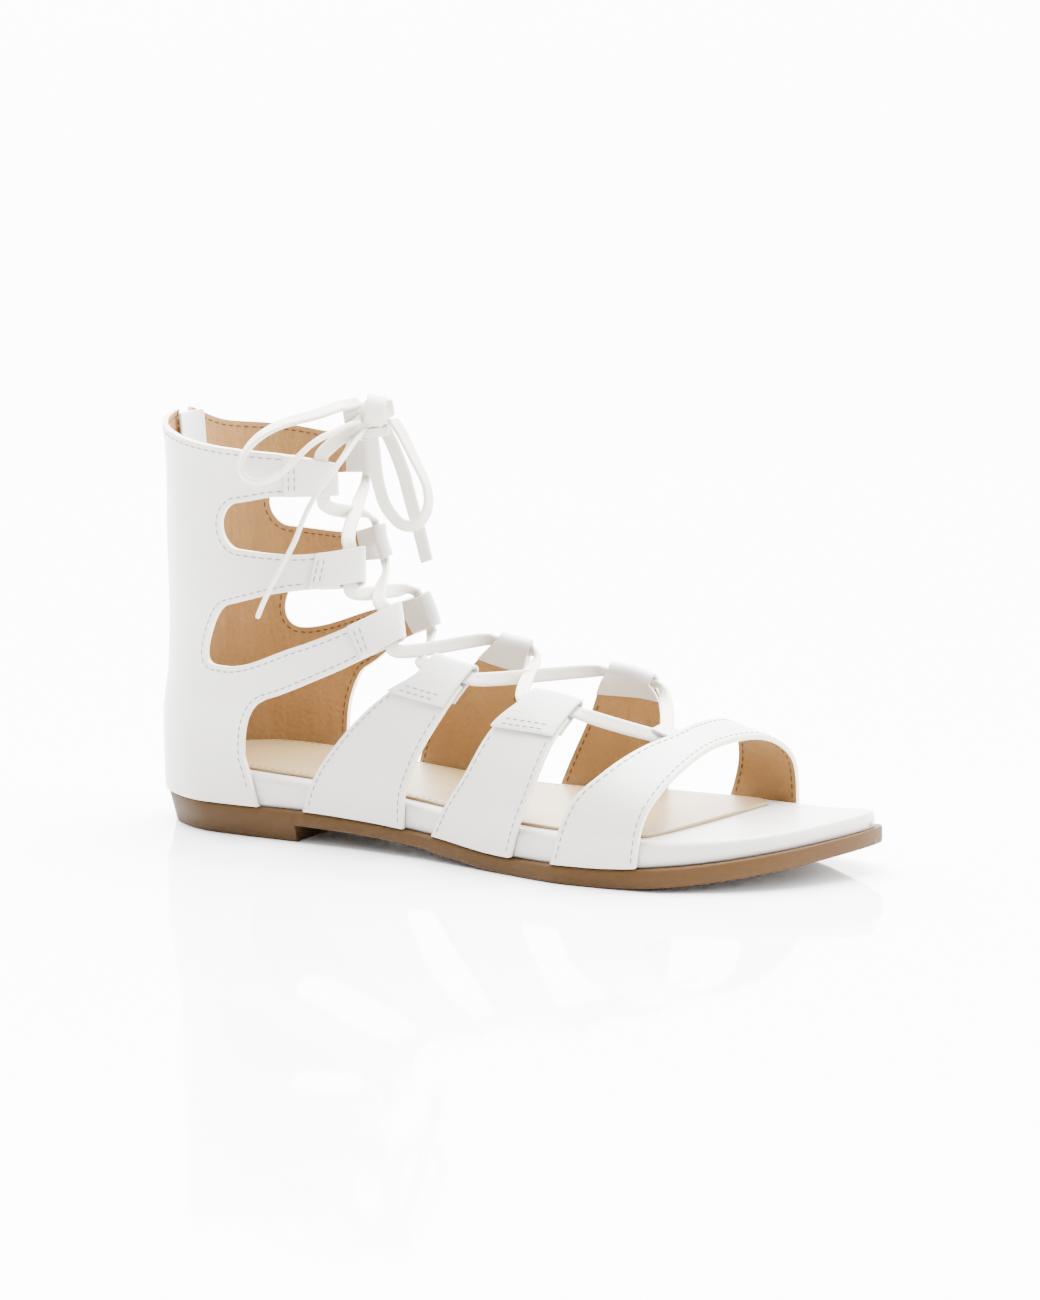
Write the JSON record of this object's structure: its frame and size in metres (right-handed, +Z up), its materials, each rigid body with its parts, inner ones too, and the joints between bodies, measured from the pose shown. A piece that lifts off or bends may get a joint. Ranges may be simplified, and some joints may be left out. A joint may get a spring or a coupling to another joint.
{
  "type": "gladiator sandal",
  "caption": "Flat white lace-up gladiator sandal, right shoe, with a caged ankle shaft, back zip, open toe, satin sock lining and caramel rubber sole",
  "frame": {"origin": "on the floor at the middle of the heel's flat underside, which is the heel_rest mount", "axes": "+X runs from the heel to the toe, +Y to the medial side, which is the wearer's left, and +Z up from the floor at z = 0"},
  "size_m": [0.2528, 0.0816, 0.1426],
  "materials": {
    "white_leather": "smooth satin coated",
    "caramel_rubber": "matte moulded",
    "champagne_sock": "satin metallic",
    "white_lace": "matte",
    "white_tape": "woven",
    "silver_zip": "polished"
  },
  "bodies": {
    "body": {"outsole": "caramel_rubber", "sock_lining": "champagne_sock", "footbed": "white_leather", "shaft": "white_leather", "strap_instep_lateral": "white_leather", "strap_instep_medial": "white_leather", "strap_ball_lateral": "white_leather", "strap_ball_medial": "white_leather", "toe_strap": "white_leather", "tab_instep_lateral": "white_leather", "tab_instep_medial": "white_leather", "tab_ball_lateral": "white_leather", "tab_ball_medial": "white_leather", "tab_top_lateral": "white_leather", "tab_top_medial": "white_leather", "tab_mid_lateral": "white_leather", "tab_mid_medial": "white_leather", "tab_low_lateral": "white_leather", "tab_low_medial": "white_leather", "toe_loop": "white_leather", "zip_tape": "white_tape", "zip_teeth": "silver_zip", "zip_slider": "silver_zip", "lace_toe": "white_lace", "lace_cross_ball": "white_lace", "lace_cross_instep": "white_lace", "lace_cross_low": "white_lace", "lace_cross_mid": "white_lace", "lace_knot": "white_lace", "lace_loop_lateral": "white_lace", "lace_loop_medial": "white_lace", "lace_end_lateral": "white_lace", "lace_end_medial": "white_lace"},
    "pull": {"zip_pull": "silver_zip"}
  },
  "joints": [
    {"name": "pull_hinge", "type": "hinge", "parent": "body", "child": "pull", "pos_m": [-0.02867, 0, 0.12524], "axis": [0, 1, 0], "range_deg": [0, 150]}
  ]
}
